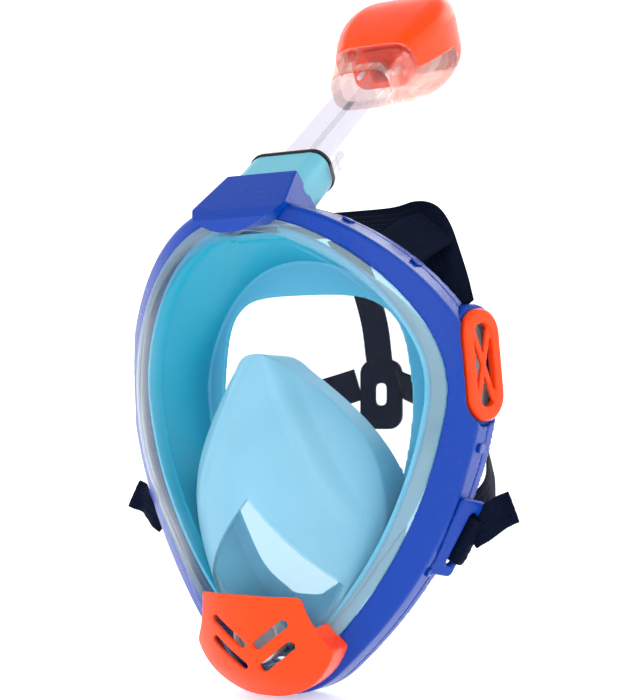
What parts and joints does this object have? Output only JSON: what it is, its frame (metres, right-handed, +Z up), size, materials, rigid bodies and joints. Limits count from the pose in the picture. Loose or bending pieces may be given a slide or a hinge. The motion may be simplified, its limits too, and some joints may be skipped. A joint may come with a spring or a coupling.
{
  "type": "snorkel mask",
  "caption": "Full-face snorkel mask with a curved clear visor, silicone skirt and breathing cup, side exhaust grilles, a leaning dry-top snorkel and a strap harness.",
  "frame": {"origin": "middle of the face seal, where the wearer's face meets the skirt", "axes": "+Z up, -Y the way the mask looks, X across with the plane of symmetry at X = 0"},
  "size_m": [0.236, 0.2837, 0.4308],
  "materials": {
    "frame_blue": "moulded royal blue plastic, satin gloss",
    "visor_clear": "clear polycarbonate",
    "skirt_silicone": "turquoise translucent silicone",
    "cup_silicone": "pale cyan translucent silicone",
    "orange_plastic": "glossy orange plastic",
    "connector_cyan": "pale cyan plastic",
    "gasket_black": "black silicone",
    "tube_clear": "clear polycarbonate",
    "strap_navy": "dark navy woven elastic",
    "valve_plastic": "pale moulded plastic",
    "flap_silicone": "thin clear silicone"
  },
  "bodies": {
    "mask": {"frame_front": "frame_blue", "frame_rear": "frame_blue", "frame_clips": "frame_blue", "snorkel_socket": "frame_blue", "visor": "visor_clear", "face_skirt": "skirt_silicone", "oronasal_cup": "cup_silicone", "chin_cover": "orange_plastic", "chin_valve_seat": "valve_plastic", "socket_connector": "connector_cyan", "socket_gasket": "gasket_black", "crown_strap": "strap_navy", "link_strap": "strap_navy", "back_pad": "strap_navy", "pod_housing_right": "frame_blue", "pod_housing_left": "frame_blue", "exhaust_seat_right": "valve_plastic", "exhaust_seat_left": "valve_plastic", "side_grille_right": "orange_plastic", "side_grille_left": "orange_plastic", "strap_lug_right": "frame_blue", "strap_lug_left": "frame_blue", "nape_strap_right": "strap_navy", "nape_strap_left": "strap_navy", "strap_tail_right": "strap_navy", "strap_tail_left": "strap_navy"},
    "snorkel": {"snorkel_tube": "tube_clear", "tube_divider": "tube_clear", "release_tabs": "tube_clear", "dry_top_housing": "tube_clear", "dry_top_cap": "orange_plastic", "dry_top_seat": "valve_plastic", "float_guides": "valve_plastic"},
    "float": {"dry_top_float": "orange_plastic", "float_seal": "flap_silicone"},
    "chin_drain_flap": {"chin_drain_flap": "flap_silicone"},
    "exhaust_flap_right": {"exhaust_flap_right": "flap_silicone"},
    "exhaust_flap_left": {"exhaust_flap_left": "flap_silicone"}
  },
  "joints": [
    {"name": "snorkel_pull_off", "type": "slide", "parent": "mask", "child": "snorkel", "axis": [0, 0.8121, 0.5835], "range_m": [0, 0.026]},
    {"name": "float_rise", "type": "slide", "parent": "snorkel", "child": "float", "axis": [0, 0.8121, 0.5835], "range_m": [0, 0.0065]},
    {"name": "chin_drain_lift", "type": "slide", "parent": "mask", "child": "chin_drain_flap", "axis": [0, -1, 0], "range_m": [0, 0.0015], "stiffness_N_per_m": 60},
    {"name": "exhaust_lift_right", "type": "slide", "parent": "mask", "child": "exhaust_flap_right", "axis": [0.9272, -0.3746, 0], "range_m": [0, 0.0015], "stiffness_N_per_m": 60},
    {"name": "exhaust_lift_left", "type": "slide", "parent": "mask", "child": "exhaust_flap_left", "axis": [-0.9272, -0.3746, 0], "range_m": [0, 0.0015], "stiffness_N_per_m": 60}
  ]
}
